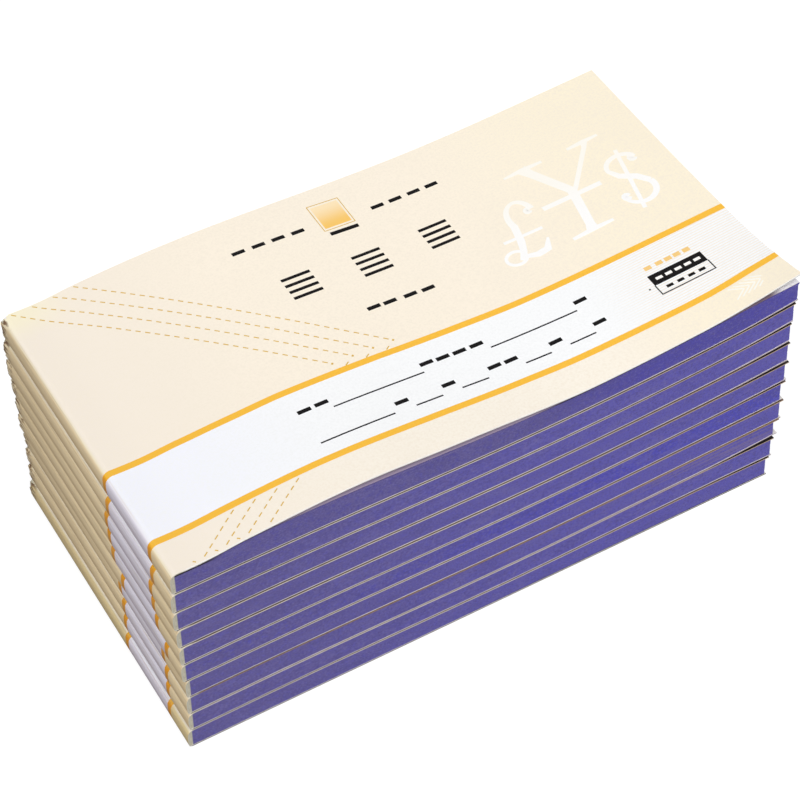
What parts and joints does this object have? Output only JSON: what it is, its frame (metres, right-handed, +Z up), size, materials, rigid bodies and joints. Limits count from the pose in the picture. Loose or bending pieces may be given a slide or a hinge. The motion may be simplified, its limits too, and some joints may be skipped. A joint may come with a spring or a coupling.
{
  "type": "stack of duplicate books",
  "caption": "Stack of wire-stapled duplicate books, each a block of dyed-edge leaves in a wrap-round card cover; the top book opens at its spine.",
  "frame": {"origin": "under the middle of the stack's bounding box, on the surface it stands on", "axes": "+X along the books' length from the bound spine to the free end, +Y across them from the front long edge to the back one, +Z up"},
  "size_m": [0.1764, 0.0942, 0.0768],
  "materials": {
    "cover_card": "cream uncoated card, printed with a white band between two golden stripes",
    "dyed_leaf_edges": "cut paper edges dyed blue violet",
    "spine_glue": "dull greenish hot-melt glue",
    "staple_wire": "galvanised wire",
    "top_copy_paper": "white copying paper",
    "second_copy_paper": "pink copying paper",
    "shield_board": "plain grey-buff board"
  },
  "bodies": {
    "book_01": {"book_01_cover_wrap": "cover_card", "book_01_leaf_block": "dyed_leaf_edges", "book_01_spine_glue": "spine_glue", "book_01_staple_front": "staple_wire", "book_01_staple_back": "staple_wire"},
    "book_02": {"book_02_cover_wrap": "cover_card", "book_02_leaf_block": "dyed_leaf_edges", "book_02_spine_glue": "spine_glue", "book_02_staple_front": "staple_wire", "book_02_staple_back": "staple_wire"},
    "book_03": {"book_03_cover_wrap": "cover_card", "book_03_leaf_block": "dyed_leaf_edges", "book_03_spine_glue": "spine_glue", "book_03_staple_front": "staple_wire", "book_03_staple_back": "staple_wire"},
    "book_04": {"book_04_cover_wrap": "cover_card", "book_04_leaf_block": "dyed_leaf_edges", "book_04_spine_glue": "spine_glue", "book_04_staple_front": "staple_wire", "book_04_staple_back": "staple_wire"},
    "book_05": {"book_05_cover_wrap": "cover_card", "book_05_leaf_block": "dyed_leaf_edges", "book_05_spine_glue": "spine_glue", "book_05_staple_front": "staple_wire", "book_05_staple_back": "staple_wire"},
    "book_06": {"book_06_cover_wrap": "cover_card", "book_06_leaf_block": "dyed_leaf_edges", "book_06_spine_glue": "spine_glue", "book_06_staple_front": "staple_wire", "book_06_staple_back": "staple_wire"},
    "book_07": {"book_07_cover_wrap": "cover_card", "book_07_leaf_block": "dyed_leaf_edges", "book_07_spine_glue": "spine_glue", "book_07_staple_front": "staple_wire", "book_07_staple_back": "staple_wire"},
    "book_08": {"book_08_cover_wrap": "cover_card", "book_08_leaf_block": "dyed_leaf_edges", "book_08_spine_glue": "spine_glue", "book_08_staple_front": "staple_wire", "book_08_staple_back": "staple_wire"},
    "book_09": {"book_09_cover_wrap": "cover_card", "book_09_leaf_block": "dyed_leaf_edges", "book_09_spine_glue": "spine_glue", "book_09_staple_front": "staple_wire", "book_09_staple_back": "staple_wire"},
    "book_10": {"book_10_cover_wrap": "cover_card", "book_10_leaf_block": "dyed_leaf_edges", "book_10_spine_glue": "spine_glue", "book_10_staple_front": "staple_wire", "book_10_staple_back": "staple_wire"},
    "front_cover_of_book_01": {"book_01_front_cover": "cover_card"},
    "top_copy_of_book_01": {"book_01_top_copy": "top_copy_paper"},
    "second_copy_of_book_01": {"book_01_second_copy": "second_copy_paper"},
    "writing_shield_of_book_01": {"book_01_writing_shield": "shield_board"}
  },
  "joints": [
    {"name": "lift_book_01", "type": "slide", "parent": "book_02", "child": "book_01", "axis": [0, 0, 1], "range_m": [0, 0.03]},
    {"name": "lift_book_02", "type": "slide", "parent": "book_03", "child": "book_02", "axis": [0, 0, 1], "range_m": [0, 0.03]},
    {"name": "lift_book_03", "type": "slide", "parent": "book_04", "child": "book_03", "axis": [0, 0, 1], "range_m": [0, 0.03]},
    {"name": "lift_book_04", "type": "slide", "parent": "book_05", "child": "book_04", "axis": [0, 0, 1], "range_m": [0, 0.03]},
    {"name": "lift_book_05", "type": "slide", "parent": "book_06", "child": "book_05", "axis": [0, 0, 1], "range_m": [0, 0.03]},
    {"name": "lift_book_06", "type": "slide", "parent": "book_07", "child": "book_06", "axis": [0, 0, 1], "range_m": [0, 0.03]},
    {"name": "lift_book_07", "type": "slide", "parent": "book_08", "child": "book_07", "axis": [0, 0, 1], "range_m": [0, 0.03]},
    {"name": "lift_book_08", "type": "slide", "parent": "book_09", "child": "book_08", "axis": [0, 0, 1], "range_m": [0, 0.03]},
    {"name": "lift_book_09", "type": "slide", "parent": "book_10", "child": "book_09", "axis": [0, 0, 1], "range_m": [0, 0.03]},
    {"name": "open_front_cover", "type": "hinge", "parent": "book_01", "child": "front_cover_of_book_01", "pos_m": [-0.08472, 0.00007, 0.06824], "axis": [-0.0006, -1, 0], "range_deg": [0, 170]},
    {"name": "turn_top_copy", "type": "hinge", "parent": "book_01", "child": "top_copy_of_book_01", "pos_m": [-0.08072, 0.00007, 0.06824], "axis": [-0.0006, -1, 0], "range_deg": [0, 162]},
    {"name": "turn_second_copy", "type": "hinge", "parent": "book_01", "child": "second_copy_of_book_01", "pos_m": [-0.08072, 0.00007, 0.06824], "axis": [-0.0006, -1, 0], "range_deg": [0, 153]},
    {"name": "turn_writing_shield", "type": "hinge", "parent": "book_01", "child": "writing_shield_of_book_01", "pos_m": [-0.08072, 0.00007, 0.06824], "axis": [-0.0006, -1, 0], "range_deg": [0, 143]}
  ],
  "couplings": [
    {"joint": "turn_top_copy", "follows": "open_front_cover", "ratio": 0.95},
    {"joint": "turn_second_copy", "follows": "open_front_cover", "ratio": 0.9},
    {"joint": "turn_writing_shield", "follows": "open_front_cover", "ratio": 0.84}
  ]
}
